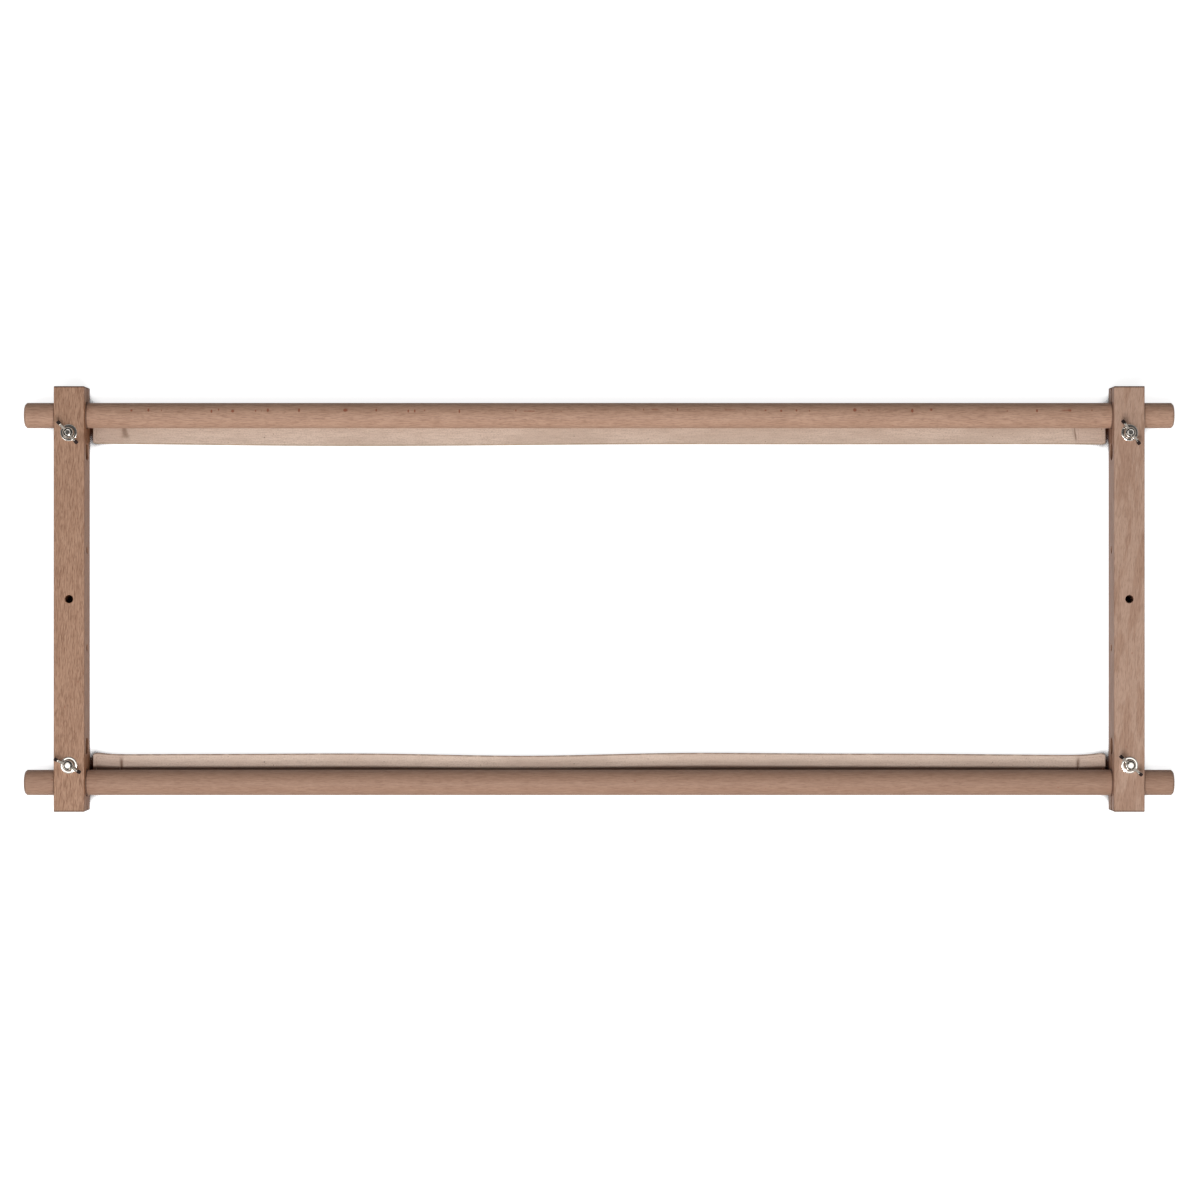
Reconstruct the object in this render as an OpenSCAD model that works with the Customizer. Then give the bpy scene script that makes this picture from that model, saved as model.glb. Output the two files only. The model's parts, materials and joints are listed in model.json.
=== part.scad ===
// Rotating tapestry frame: two turned rollers with webbing run through two slotted side bars, and
// a wing nut at each corner pinches the slot to lock the roller.
// X runs along the rollers, Y along the side bars, and Z up through the frame's thickness. The
// frame lies on its four bolt heads, and the origin is under its middle.

/* [Side bars] */
// Length of a side bar
bar_length = 317.5; // [200:0.5:600]
// Width of a side bar, seen from the front
bar_width = 22.8; // [16:0.1:40]
// Thickness of a side bar, front to back
bar_depth = 28; // [25:0.5:45]
// Chamfer that eases every edge of a side bar
bar_ease = 0.6; // [0.3:0.1:2]
// From the end of a side bar to the roller's axis
roller_margin = 21.25; // [16:0.25:35]

/* [Rollers] */
// Diameter of a roller
roller_d = 19; // [15:0.5:21]
// Length of roller that stands out past a side bar
roller_stub = 23.3; // [10:0.1:60]
// Chamfer on the ends of a roller
roller_ease = 1.5; // [0.5:0.1:3]
// Radial clearance of a roller in its hole
roller_clear = 0.1; // [0.02:0.01:0.1]
// Chamfer round the mouth of a roller hole
mouth_ease = 0.5; // [0.2:0.1:1.2]

/* [Clamp slots] */
// Height of the saw slot that splits the end of a side bar
slot_h = 3; // [1.5:0.1:5]
// Diameter of the relief hole that ends the slot
relief_d = 12.7; // [6:0.1:14]
// From the clamp bolt's axis to the relief hole's axis
relief_reach = 13.6; // [11:0.1:25]

/* [Stand holes] */
// Diameter of the hole through the middle of a side bar, front to back
stand_hole_d = 6; // [3:0.1:10]
// Diameter of the two holes across a side bar
bracket_hole_d = 5.5; // [3:0.1:10]
// Distance between the two holes across a side bar
bracket_pitch = 73.2; // [30:0.2:110]

/* [Clamp bolts] */
// Diameter of a clamp bolt
bolt_d = 5; // [4:0.5:6]
// Radial clearance of a clamp bolt in its hole
bolt_clear = 0.25; // [0.1:0.05:0.5]
// Wood left between the roller hole and the bolt hole
bolt_wall = 1.25; // [0.8:0.05:4]
// Length of bolt that stands out past the front face
bolt_tail = 7; // [6.5:0.5:14]
// Diameter of the domed bolt head
head_d = 13; // [9:0.1:18]
// Height of the domed bolt head
head_h = 3.2; // [2:0.1:5]
// Width of the square neck under the bolt head
neck_w = 5.4; // [5:0.1:7]
// Depth of the square neck under the bolt head
neck_h = 3.5; // [2:0.1:6]
// Gap between the neck and its seat in the wood
neck_clear = 0.05; // [0.02:0.01:0.2]
// Chamfer on the end of the bolt
bolt_ease = 0.5; // [0.2:0.1:1]

/* [Washers and wing nuts] */
// Outer diameter of a washer
washer_d = 12.5; // [9:0.1:20]
// Thickness of a washer
washer_t = 1; // [0.5:0.1:2]
// Radial clearance of a washer on its bolt
washer_clear = 0.15; // [0.05:0.05:0.5]
// Height of a wing nut's hub
hub_h = 5; // [4:0.1:5.5]
// Diameter of the hub where it meets the washer
hub_base_d = 10; // [8.5:0.1:14]
// Diameter of the hub at its top
hub_top_d = 8; // [7.5:0.1:12]
// Radial clearance of a wing nut's bore on its bolt
nut_clear = 0.05; // [0.02:0.01:0.1]
// Distance across the outer corners of the wings
wing_span = 22.5; // [20:0.1:40]
// Distance between the highest points of the two wings
wing_peak_span = 15.8; // [12:0.1:17]
// Height of the wings above the washer
wing_rise = 9; // [8:0.1:16]
// How far the end of a wing falls from its highest corner to its outer one
wing_fall = 1.6; // [0.2:0.1:2]
// Thickness of a wing
wing_t = 2.3; // [1:0.1:3]
// Radius of a wing's rounded corners
wing_corner_r = 0.9; // [0.4:0.1:1.2]
// Height of hub left bare above and below the root of a wing
wing_root_gap = 1; // [0.5:0.1:1.8]
// Turn of the wing nut at the top left, in degrees
turn_top_left = -48; // [-180:1:180]
// Turn of the wing nut at the top right, in degrees
turn_top_right = -54; // [-180:1:180]
// Turn of the wing nut at the bottom left, in degrees
turn_bottom_left = -28; // [-180:1:180]
// Turn of the wing nut at the bottom right, in degrees
turn_bottom_right = -42; // [-180:1:180]

/* [Webbing] */
// Length of the webbing, hemmed
tape_length = 762; // [300:1:1200]
// Thickness of the webbing
tape_t = 0.8; // [0.4:0.1:1.5]
// Width of webbing that shows past the roller, towards the middle of the frame
tape_show = 11.6; // [5:0.1:30]
// Width of webbing stapled round the back of the roller
tape_grip = 9.3; // [8:0.1:16]
// Gap between the end of the webbing and a side bar
tape_gap = 2.9; // [0.5:0.1:10]
// Length of the folded hem at each end of the webbing
hem_length = 23; // [10:1:40]
// Radius of the webbing's free corners
corner_r = 2.4; // [0.5:0.1:5]

/* [Staples] */
// Distance between staples
staple_pitch = 90; // [40:1:150]
// Length of a staple's crown
staple_crown = 12; // [6:0.5:16]
// Length of a staple's legs
staple_leg = 6; // [3:0.5:6]
// Width of the staple wire
wire_w = 1.2; // [0.8:0.1:1.6]
// Thickness of the staple wire
wire_t = 0.6; // [0.4:0.1:0.8]
// Gap round a staple's legs in the webbing and the wood
staple_clear = 0.05; // [0.02:0.01:0.1]

/* [Hidden] */

left = -1;
right = 1;
top = 1;
bottom = -1;

// How far a cutting tool runs past the face that it cuts
overcut = 1;

beech_bar = [0.66, 0.50, 0.41];
beech_roller = [0.70, 0.55, 0.46];
cotton = [0.81, 0.72, 0.64];
zinc = [0.78, 0.77, 0.74];
steel_wire = [0.70, 0.70, 0.70];

bar_inner_x = tape_length / 2 + tape_gap;
bar_x = bar_inner_x + bar_width / 2;
bar_back_z = head_h;
bar_mid_z = bar_back_z + bar_depth / 2;
bar_front_z = bar_back_z + bar_depth;

roller_r = roller_d / 2;
roller_hole_r = roller_r + roller_clear;
roller_length = 2 * (bar_inner_x + bar_width + roller_stub);
roller_y = bar_length / 2 - roller_margin;

bolt_hole_r = bolt_d / 2 + bolt_clear;
bolt_y = roller_y - roller_hole_r - bolt_wall - bolt_hole_r;
relief_y = bolt_y - relief_reach;

tape_outer_r = roller_r + tape_t;
tape_free = roller_r + tape_show;
grip_angle = tape_grip / (roller_r + tape_t / 2) * 180 / PI;

staple_count = floor((tape_length - 2 * hem_length) / staple_pitch) + 1;
staple_start = -(staple_count - 1) / 2 * staple_pitch;

module chamfered_rect(w, h, c) {
    polygon([
        [-w / 2 + c, -h / 2], [w / 2 - c, -h / 2], [w / 2, -h / 2 + c], [w / 2, h / 2 - c],
        [w / 2 - c, h / 2], [-w / 2 + c, h / 2], [-w / 2, h / 2 - c], [-w / 2, -h / 2 + c]
    ]);
}

// A bar's blank, centred, with every edge eased
module bar_blank() {
    intersection() {
        rotate([90, 0, 0])
            linear_extrude(bar_length, center = true)
                chamfered_rect(bar_width, bar_depth, bar_ease);
        linear_extrude(bar_depth, center = true)
            chamfered_rect(bar_width, bar_length, bar_ease);
        rotate([90, 0, 90])
            linear_extrude(bar_width, center = true)
                chamfered_rect(bar_length, bar_depth, bar_ease);
    }
}

// A hole across the bar, along X
module cross_hole(r) {
    rotate([0, 90, 0])
        cylinder(h = bar_width + 2 * overcut, r = r, center = true, $fn = 96);
}

// The roller's hole, eased where the roller goes in and out
module roller_hole() {
    cross_hole(roller_hole_r);
    for (face = [-1, 1])
        translate([face * bar_width / 2, 0, 0])
            rotate([0, face * 90, 0])
                translate([0, 0, -mouth_ease])
                    cylinder(
                        h = mouth_ease + overcut,
                        r1 = roller_hole_r,
                        r2 = roller_hole_r + mouth_ease + overcut,
                        $fn = 96
                    );
}

// The saw slot from the bar's end to the relief hole
module clamp_slot() {
    slot_end = bar_length / 2 + overcut;
    translate([0, (relief_y + slot_end) / 2, 0])
        cube([bar_width + 2 * overcut, slot_end - relief_y, slot_h], center = true);
    translate([0, relief_y, 0])
        cross_hole(relief_d / 2);
}

// The bolt's hole, with a square seat for its neck at the back
module bolt_hole() {
    seat_w = neck_w + 2 * neck_clear;
    seat_h = neck_h + neck_clear;
    cylinder(h = bar_depth + 2 * overcut, r = bolt_hole_r, center = true, $fn = 64);
    translate([0, 0, -bar_depth / 2 + (seat_h - overcut) / 2])
        cube([seat_w, seat_w, seat_h + overcut], center = true);
}

module side_bar(side) {
    color(beech_bar)
        translate([side * bar_x, 0, bar_mid_z])
            difference() {
                bar_blank();
                for (end = [bottom, top])
                    mirror([0, (1 - end) / 2, 0]) {
                        translate([0, roller_y, 0])
                            roller_hole();
                        clamp_slot();
                        translate([0, bolt_y, 0])
                            bolt_hole();
                        translate([0, bracket_pitch / 2, 0])
                            cross_hole(bracket_hole_d / 2);
                    }
                cylinder(
                    h = bar_depth + 2 * overcut, d = stand_hole_d, center = true, $fn = 64
                );
            }
}

// Places a piece of a roller so that its own Y points to the middle of the frame
module at_roller(end) {
    translate([0, end * roller_y, bar_mid_z])
        mirror([0, (1 + end) / 2, 0])
            children();
}

// Places one leg slot or staple in the middle of the stapled width
module at_staples() {
    for (i = [0 : staple_count - 1])
        translate([staple_start + i * staple_pitch, 0, 0])
            rotate([-grip_angle / 2, 0, 0])
                children();
}

module staple_leg_slots() {
    for (leg = [-1, 1])
        translate([leg * (staple_crown - wire_t) / 2, 0, -tape_outer_r + (staple_leg - overcut) / 2])
            cube(
                [
                    wire_t + 2 * staple_clear,
                    wire_w + 2 * staple_clear,
                    staple_leg + overcut + 2 * staple_clear
                ],
                center = true
            );
}

module roller_blank() {
    rotate([0, 90, 0])
        rotate_extrude($fn = 96)
            polygon([
                [0, -roller_length / 2],
                [roller_r - roller_ease, -roller_length / 2],
                [roller_r, -roller_length / 2 + roller_ease],
                [roller_r, roller_length / 2 - roller_ease],
                [roller_r - roller_ease, roller_length / 2],
                [0, roller_length / 2]
            ]);
}

module roller(end) {
    color(beech_roller)
        at_roller(end)
            difference() {
                roller_blank();
                at_staples()
                    staple_leg_slots();
            }
}

// The webbing across its width: stapled round the roller's back, then free and flat
module tape_profile(thickness) {
    outer_r = roller_r + thickness;
    translate([0, -outer_r])
        square([tape_free, thickness]);
    intersection() {
        difference() {
            circle(r = outer_r, $fn = 96);
            circle(r = roller_r, $fn = 96);
        }
        polygon([
            [0, 0],
            [0, -2 * outer_r],
            [-2 * outer_r * tan(grip_angle / 2), -2 * outer_r],
            [-2 * outer_r * sin(grip_angle), -2 * outer_r * cos(grip_angle)]
        ]);
    }
}

// Everything that lies outside a single layer of webbing
module past_one_layer() {
    reach = 2 * tape_outer_r + tape_free;
    difference() {
        translate([-reach, -reach])
            square([reach + tape_free + overcut, 2 * reach]);
        circle(r = tape_outer_r, $fn = 96);
        translate([0, -tape_outer_r])
            square([tape_free + 2 * overcut, 2 * reach]);
    }
}

// What is cut away to round a free corner of the webbing
module corner_cut() {
    depth = 2 * tape_t + 2 * overcut;
    translate([-corner_r, -corner_r, -depth / 2])
        difference() {
            cube([corner_r + overcut, corner_r + overcut, depth]);
            translate([0, 0, -overcut])
                cylinder(h = depth + 2 * overcut, r = corner_r, $fn = 64);
        }
}

// Two layers thick at the folded hems, and one between them
module webbing(end) {
    color(cotton)
        at_roller(end)
            difference() {
                rotate([90, 0, 90])
                    linear_extrude(tape_length, center = true)
                        tape_profile(2 * tape_t);
                rotate([90, 0, 90])
                    linear_extrude(tape_length - 2 * hem_length, center = true)
                        past_one_layer();
                for (side = [left, right])
                    mirror([(1 - side) / 2, 0, 0])
                        translate([tape_length / 2, tape_free, -tape_outer_r])
                            corner_cut();
                at_staples()
                    staple_leg_slots();
            }
}

module staple() {
    translate([0, 0, -tape_outer_r - wire_t / 2])
        cube([staple_crown, wire_w, wire_t], center = true);
    for (leg = [-1, 1])
        translate([leg * (staple_crown - wire_t) / 2, 0, -tape_outer_r + staple_leg / 2 - wire_t / 2])
            cube([wire_t, wire_w, staple_leg + wire_t], center = true);
}

module staples(end) {
    color(steel_wire)
        at_roller(end)
            at_staples()
                staple();
}

// Places a clamp piece on its bolt's axis, with its own Z up from the height given
module at_clamp(side, end, z) {
    translate([side * bar_x, end * bolt_y, z])
        children();
}

// A cup-headed bolt, its head down: the dome, the square neck and the shank
module clamp_bolt(side, end) {
    dome_r = (pow(head_d / 2, 2) + pow(head_h, 2)) / (2 * head_h);
    bolt_length = head_h + bar_depth + bolt_tail;
    color(zinc)
        at_clamp(side, end, 0) {
            rotate_extrude($fn = 64) {
                intersection() {
                    translate([0, dome_r])
                        circle(r = dome_r, $fn = 96);
                    square([head_d / 2, head_h]);
                }
                polygon([
                    [0, head_h / 2],
                    [bolt_d / 2, head_h / 2],
                    [bolt_d / 2, bolt_length - bolt_ease],
                    [bolt_d / 2 - bolt_ease, bolt_length],
                    [0, bolt_length]
                ]);
            }
            translate([0, 0, head_h + neck_h / 2 - overcut / 2])
                cube([neck_w, neck_w, neck_h + overcut], center = true);
        }
}

module washer(side, end) {
    color(zinc)
        at_clamp(side, end, bar_front_z)
            difference() {
                cylinder(h = washer_t, d = washer_d, $fn = 96);
                translate([0, 0, -overcut])
                    cylinder(h = washer_t + 2 * overcut, r = bolt_d / 2 + washer_clear, $fn = 64);
            }
}

// A wing's outline, from the hub up to its highest corner and down its end to its outer corner
module wing_outline() {
    hull() {
        translate([wing_peak_span / 2, wing_rise - wing_corner_r])
            circle(r = wing_corner_r, $fn = 32);
        translate([wing_span / 2 - wing_corner_r, wing_rise - wing_corner_r - wing_fall])
            circle(r = wing_corner_r, $fn = 32);
        translate([hub_top_d / 2 - wing_t / 2, wing_root_gap])
            square([wing_t / 2, hub_h - 2 * wing_root_gap]);
    }
}

module wing_nut(side, end, turn) {
    color(zinc)
        at_clamp(side, end, bar_front_z + washer_t)
            rotate([0, 0, turn])
                difference() {
                    union() {
                        cylinder(h = hub_h, d1 = hub_base_d, d2 = hub_top_d, $fn = 64);
                        for (wing = [0, 180])
                            rotate([90, 0, wing])
                                linear_extrude(wing_t, center = true)
                                    wing_outline();
                    }
                    translate([0, 0, -overcut])
                        cylinder(
                            h = wing_rise + 2 * overcut, r = bolt_d / 2 + nut_clear, $fn = 64
                        );
                }
}

side_bar(left);  // side_bar_left
side_bar(right);  // side_bar_right
roller(top);  // roller_top
roller(bottom);  // roller_bottom
webbing(top);  // webbing_top
webbing(bottom);  // webbing_bottom
staples(top);  // staples_top
staples(bottom);  // staples_bottom
clamp_bolt(left, top);  // clamp_bolt_top_left
clamp_bolt(right, top);  // clamp_bolt_top_right
clamp_bolt(left, bottom);  // clamp_bolt_bottom_left
clamp_bolt(right, bottom);  // clamp_bolt_bottom_right
washer(left, top);  // washer_top_left
washer(right, top);  // washer_top_right
washer(left, bottom);  // washer_bottom_left
washer(right, bottom);  // washer_bottom_right
wing_nut(left, top, turn_top_left);  // wing_nut_top_left
wing_nut(right, top, turn_top_right);  // wing_nut_top_right
wing_nut(left, bottom, turn_bottom_left);  // wing_nut_bottom_left
wing_nut(right, bottom, turn_bottom_right);  // wing_nut_bottom_right
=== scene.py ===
import json
import math

import bmesh
import bpy
from mathutils import Matrix, Vector, geometry


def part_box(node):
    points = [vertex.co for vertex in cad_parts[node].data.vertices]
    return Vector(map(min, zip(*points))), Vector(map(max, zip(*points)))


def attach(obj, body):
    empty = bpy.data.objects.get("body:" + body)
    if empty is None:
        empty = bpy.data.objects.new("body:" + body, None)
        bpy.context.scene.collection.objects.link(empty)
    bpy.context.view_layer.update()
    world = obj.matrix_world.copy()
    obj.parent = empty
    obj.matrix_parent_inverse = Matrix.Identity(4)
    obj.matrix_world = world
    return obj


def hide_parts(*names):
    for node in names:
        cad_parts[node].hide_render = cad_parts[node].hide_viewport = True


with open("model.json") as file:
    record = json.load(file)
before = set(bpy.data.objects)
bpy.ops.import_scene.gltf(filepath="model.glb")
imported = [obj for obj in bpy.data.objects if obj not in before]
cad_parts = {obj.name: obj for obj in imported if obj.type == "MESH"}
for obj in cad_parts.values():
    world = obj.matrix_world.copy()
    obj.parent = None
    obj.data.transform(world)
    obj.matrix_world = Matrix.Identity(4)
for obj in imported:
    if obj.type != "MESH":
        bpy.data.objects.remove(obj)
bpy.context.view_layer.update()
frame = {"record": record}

# The ground, the light and the camera. The frame lies face up on a plain white table with a white
# backdrop round it. A soft lamp hangs over its near half, two more stand at the left and the near
# side, a dim panel above them shows in the metal, and the camera looks straight down from 2.5 m.
MM = 0.001
CORNERS = ("top_left", "top_right", "bottom_left", "bottom_right")
NODE_BODY = {
    node: body
    for body, nodes in frame["record"]["behaviour"]["bodies"].items()
    for node in nodes
}


def srgb(red, green, blue):
    """A colour as an eye reads it, from 0 to 255, in the linear values that shaders use."""
    def linear(c):
        c = c / 255
        return c / 12.92 if c <= 0.04045 else ((c + 0.055) / 1.055) ** 2.4
    return (linear(red), linear(green), linear(blue), 1.0)


class Wire:
    """A socket in a node graph. Sums of wires and numbers add Math nodes to the graph."""

    def __init__(self, graph, socket):
        self.graph = graph
        self.socket = socket

    def out(self, name):
        return Wire(self.graph, self.socket.node.outputs[name])

    def math(self, operation, *others):
        terms = dict(enumerate((self, *others)))
        return self.graph.add("ShaderNodeMath", {"operation": operation}, terms)

    def __add__(self, other):
        return self.math("ADD", other)

    def __sub__(self, other):
        return self.math("SUBTRACT", other)

    def __mul__(self, other):
        return self.math("MULTIPLY", other)

    def __truediv__(self, other):
        return self.math("DIVIDE", other)

    def ease(self, low, high):
        """0 below low and 1 above high, with a smooth step between them."""
        settings = {"interpolation_type": "SMOOTHSTEP"}
        if low <= high:
            ends = {"From Min": low, "From Max": high}
        else:
            ends = {"From Min": high, "From Max": low, "To Min": 1.0, "To Max": 0.0}
        return self.graph.add("ShaderNodeMapRange", settings, {"Value": self, **ends})


class Graph:
    """A node tree that is filled from Python."""

    def __init__(self, tree):
        self.tree = tree
        tree.nodes.clear()

    def add(self, kind, settings=None, sockets=None, out=0):
        node = self.tree.nodes.new(kind)
        for name, value in (settings or {}).items():
            setattr(node, name, value)
        for name, value in (sockets or {}).items():
            if isinstance(value, Wire):
                self.tree.links.new(value.socket, node.inputs[name])
            else:
                node.inputs[name].default_value = value
        return Wire(self, node.outputs[out]) if len(node.outputs) else node

    def mix(self, amount, a, b, blend="MIX"):
        """Colour a going over to colour b."""
        settings = {"data_type": "RGBA", "blend_type": blend, "clamp_factor": True}
        return self.add("ShaderNodeMix", settings, {0: amount, 6: a, 7: b}, out=2)

    def split(self, vector):
        """The three numbers of a vector, in millimetres."""
        parts = self.add("ShaderNodeSeparateXYZ", None, {0: vector})
        return [parts.out(axis) / MM for axis in "XYZ"]

    def noise(self, x, y, z, detail=2.0, roughness=0.5):
        """Smooth noise around 0.5, one lump for each unit of x, y and z."""
        place = self.add("ShaderNodeCombineXYZ", None, {0: x, 1: y, 2: z})
        sockets = {"Vector": place, "Scale": 1.0, "Detail": detail, "Roughness": roughness}
        return self.add("ShaderNodeTexNoise", None, sockets)

    def specks(self, x, y, z, radius, scatter=1.0):
        """Round specks up to radius in size, one in each unit of x, y and z. scatter is how far each
        may lie from its unit's middle."""
        place = self.add("ShaderNodeCombineXYZ", None, {0: x, 1: y, 2: z})
        sockets = {"Vector": place, "Scale": 1.0, "Randomness": scatter}
        away = self.add("ShaderNodeTexVoronoi", None, sockets, out="Distance")
        size = self.add("ShaderNodeSeparateColor", None, {0: away.out("Color")})
        return (size * radius - away).ease(0.0, radius * 0.4)


def new_finish(name):
    """An empty material and the graph to fill."""
    material = bpy.data.materials.new(name)
    material.use_nodes = True
    return material, Graph(material.node_tree)


def surface(graph, sockets):
    """The shader that all the object's finishes end in."""
    shader = graph.add("ShaderNodeBsdfPrincipled", None, sockets)
    graph.add("ShaderNodeOutputMaterial", None, {"Surface": shader})


def put(name, mesh, material):
    """Makes a finished mesh an object of the scene."""
    piece = bpy.data.objects.new(name, mesh)
    bpy.context.scene.collection.objects.link(piece)
    mesh.materials.clear()
    mesh.materials.append(material)
    return piece


FRONT_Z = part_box("side_bar_left")[1].z
VIEW_DISTANCE = 2.5
PICTURE_PX = 1200
PX_PER_M = 1341.5  # in the plane of the side bars' front faces
SENSOR_MM = 36
MIDDLE_PX = (599.2, 599.0)  # where the middle of the frame lies in the picture

camera_data = bpy.data.cameras.new("camera")
camera_data.sensor_width = SENSOR_MM
camera_data.lens = PX_PER_M * VIEW_DISTANCE / PICTURE_PX * SENSOR_MM
camera_data.clip_start = 0.05
camera = bpy.data.objects.new("camera", camera_data)
camera.location = (
    (PICTURE_PX / 2 - MIDDLE_PX[0]) / PX_PER_M,
    (MIDDLE_PX[1] - PICTURE_PX / 2) / PX_PER_M,
    FRONT_Z + VIEW_DISTANCE,
)
bpy.context.scene.collection.objects.link(camera)
bpy.context.scene.camera = camera
bpy.context.scene.view_settings.view_transform = "Standard"


def lamp(name, place, aim, size, radiance):
    """A soft box: size is its width and height, and radiance how bright its face looks."""
    light = bpy.data.lights.new(name, "AREA")
    light.shape = "RECTANGLE"
    light.size, light.size_y = size
    light.energy = radiance * math.pi * size[0] * size[1]
    holder = bpy.data.objects.new(name, light)
    holder.location = place
    holder.rotation_euler = (Vector(aim) - Vector(place)).to_track_quat("-Z", "Y").to_euler()
    holder.visible_camera = False
    bpy.context.scene.collection.objects.link(holder)


def seen_rays(graph):
    """1 where the camera, a shiny surface or something clear looks on, and 0 for all other light."""
    path = graph.add("ShaderNodeLightPath", out="Is Camera Ray")
    glossy = path.math("MAXIMUM", path.out("Is Glossy Ray"))
    return glossy.math("MAXIMUM", path.out("Is Transmission Ray"))


lamp("overhead_lamp", (0, -0.45, 1.8), (0, 0, 0), (0.8, 0.3), 16.3)
lamp("left_lamp", (-1.175, -0.5, 1.5), (-0.3, 0, 0), (0.5, 0.5), 4)
lamp("near_lamp", (0, -0.9, 1.5), (0, 0, 0), (0.4, 0.3), 20)
lamp("panel", (0, -0.3, 2.75), (0, -0.3, 0), (2.4, 0.5), 1.8)

world = bpy.data.worlds.new("room")
world.use_nodes = True
bpy.context.scene.world = world
room = Graph(world.node_tree)
toward = room.add("ShaderNodeTexCoord", out="Generated")
toward = room.add("ShaderNodeSeparateXYZ", None, {0: toward})
ROOM_LIGHT = 0.11
NEAR_SIDE_LIGHT = 0.35  # what the room's near side adds to it
BACKDROP_WHITE = 0.97
near_side = (toward.out("Y") * -1.0).ease(0.0, 0.5) * toward.out("Z").ease(0.0, 0.4)
backdrop = seen_rays(room) * toward.out("Z").ease(0.65, 0.4) * BACKDROP_WHITE
strength = (near_side * NEAR_SIDE_LIGHT + ROOM_LIGHT).math("MAXIMUM", backdrop)
walls = room.add("ShaderNodeBackground", None, {"Color": (1, 1, 1, 1), "Strength": strength})
room.add("ShaderNodeOutputWorld", None, {"Surface": walls})

TABLE_HALF = 30
TABLE_GREY = 0.45
TABLE_GLOW = 0.88
GAP_REACH = 0.05  # how near the object the table is shaded, which only shows in narrow gaps
table_mesh = bpy.data.meshes.new("table")
table_corners = [(x * TABLE_HALF, y * TABLE_HALF, 0) for x, y in ((-1, -1), (1, -1), (1, 1), (-1, 1))]
table_mesh.from_pydata(table_corners, [], [(0, 1, 2, 3)])
white, graph = new_finish("white_table")
near = graph.add("ShaderNodeAmbientOcclusion", {"samples": 24}, {"Distance": GAP_REACH}, out="AO")
openness = near.ease(0.27, 0.39)
# Painted shade: the table's colour turns dark brown where it is closely hemmed in, as in the narrow
# gaps under the frame.
ground = graph.mix(openness, srgb(66, 36, 24), (TABLE_GREY, TABLE_GREY, TABLE_GREY, 1))
matt = graph.add("ShaderNodeBsdfDiffuse", None, {"Color": ground})
glow = graph.add("ShaderNodeEmission", None, {
    "Color": (1, 1, 1, 1), "Strength": seen_rays(graph) * openness * TABLE_GLOW,
})
lit = graph.add("ShaderNodeAddShader", None, {0: matt, 1: glow})
graph.add("ShaderNodeOutputMaterial", None, {"Surface": lit})
put("table", table_mesh, white)

# The side bars: two straight bars of planed beech with every edge eased. Each end is sawn through
# its thickness from the end to a round relief hole, and bored across for a roller and from front
# to back for the clamp bolt. Three plain holes in the middle take a stand.
SLOT_H = 3 * MM
RELIEF_R = 6.35 * MM
RELIEF_REACH = 13.6 * MM  # from the bolt's axis to the relief hole's
ROLLER_CLEAR = 0.1 * MM
BOLT_HOLE_R = 2.75 * MM
EASED_R = 0.6 * MM
HOLE_PLAY = 0.4 * MM
OVERCUT = 1 * MM

roller_low, roller_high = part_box("roller_top")
ROLLER_R = (roller_high.z - roller_low.z) / 2
ROLLER_Y = (roller_high.y + roller_low.y) / 2
AXIS_Z = (roller_high.z + roller_low.z) / 2
bolt_low, bolt_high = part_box("clamp_bolt_top_right")
BOLT_Y = (bolt_low.y + bolt_high.y) / 2
mounts = {mount["name"]: mount for mount in frame["record"]["mounts"]}
STAND_HOLE_R = mounts["stand_hole_left"]["dims"]["r_mm"] * MM
BRACKET_HOLE_R = mounts["bracket_holes_left"]["dims"]["hole_r_mm"] * MM
BRACKET_PITCH = mounts["bracket_holes_left"]["dims"]["spacing_x_mm"] * MM


def lathe(profile, segments=96, turn=None, place=(0, 0, 0)):
    """A solid turned about its Z axis from (radius, height) pairs, then turned and placed."""
    bm = bmesh.new()
    rings = []
    for radius, z in profile:
        if radius == 0:
            rings.append([bm.verts.new((0, 0, z))])
            continue
        ring = []
        for i in range(segments):
            angle = 2 * math.pi * i / segments
            ring.append(bm.verts.new((radius * math.cos(angle), radius * math.sin(angle), z)))
        rings.append(ring)
    for low, high in zip(rings, rings[1:]):
        for i in range(segments):
            j = (i + 1) % segments
            corners = [low[i % len(low)], low[j % len(low)], high[j % len(high)], high[i % len(high)]]
            bm.faces.new(list(dict.fromkeys(corners)))
    for ring, z in ((rings[0], -1), (rings[-1], 1)):
        if len(ring) > 1 and profile[0] != profile[-1]:
            bm.faces.new(ring if z > 0 else ring[::-1])
    if profile[0] == profile[-1]:
        bmesh.ops.remove_doubles(bm, verts=bm.verts, dist=0.001 * MM)
    bmesh.ops.recalc_face_normals(bm, faces=bm.faces)
    bm.transform(Matrix.Translation(place) @ (turn or Matrix.Identity(4)))
    mesh = bpy.data.meshes.new("lathe")
    bm.to_mesh(mesh)
    bm.free()
    return mesh


def block(low, high, radius=0.0, steps=4):
    """A box, with its edges rounded where a radius is given."""
    bm = bmesh.new()
    bmesh.ops.create_cube(bm, size=1)
    size = Vector(high) - Vector(low)
    bm.transform(Matrix.Translation((Vector(high) + Vector(low)) / 2) @ Matrix.Diagonal((*size, 1)))
    if radius:
        bmesh.ops.bevel(
            bm, geom=bm.edges, offset=radius, segments=steps, profile=0.5, affect="EDGES"
        )
    mesh = bpy.data.meshes.new("block")
    bm.to_mesh(mesh)
    bm.free()
    return mesh


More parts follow.
